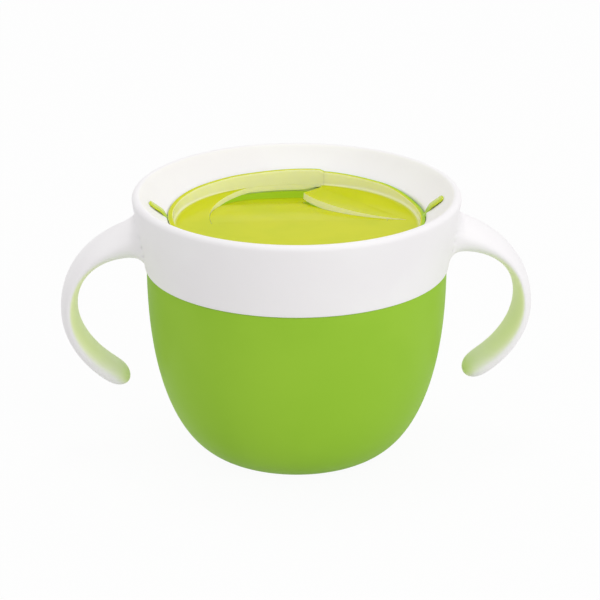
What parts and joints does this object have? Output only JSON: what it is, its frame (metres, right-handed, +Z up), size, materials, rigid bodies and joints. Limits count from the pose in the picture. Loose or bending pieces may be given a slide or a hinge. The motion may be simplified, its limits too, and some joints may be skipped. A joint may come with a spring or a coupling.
{
  "type": "toddler snack container",
  "caption": "Bowl-shaped toddler snack cup with a push-on collar, two open side handles and a soft insert whose flaps let a hand in.",
  "frame": {"origin": "centre of the cup's base, on the surface it stands on", "axes": "+Z up, X through both handles, the flaps' free edges towards +Y"},
  "size_m": [0.135, 0.0932, 0.0775],
  "materials": {
    "cup": "satin apple-green moulded plastic",
    "collar": "satin white moulded plastic",
    "insert": "glossy translucent yellow-green thermoplastic elastomer"
  },
  "bodies": {
    "cup": {"cup": "cup"},
    "lid": {"collar": "collar", "flap_insert": "insert"},
    "large_flap": {"large_flap": "insert"},
    "small_flap": {"small_flap": "insert"}
  },
  "joints": [
    {"name": "lid_lift", "type": "slide", "parent": "cup", "child": "lid", "axis": [0, 0, 1], "range_m": [0, 0.05]},
    {"name": "large_flap_hinge", "type": "hinge", "parent": "lid", "child": "large_flap", "pos_m": [0, 0.0013, 0.067], "axis": [-1, 0, 0], "range_deg": [-25, 50], "stiffness_Nm_per_rad": 0.05},
    {"name": "small_flap_hinge", "type": "hinge", "parent": "lid", "child": "small_flap", "pos_m": [0.02114, 0.01564, 0.067], "axis": [0.5948, -0.8039, 0], "range_deg": [-25, 45], "stiffness_Nm_per_rad": 0.02}
  ]
}
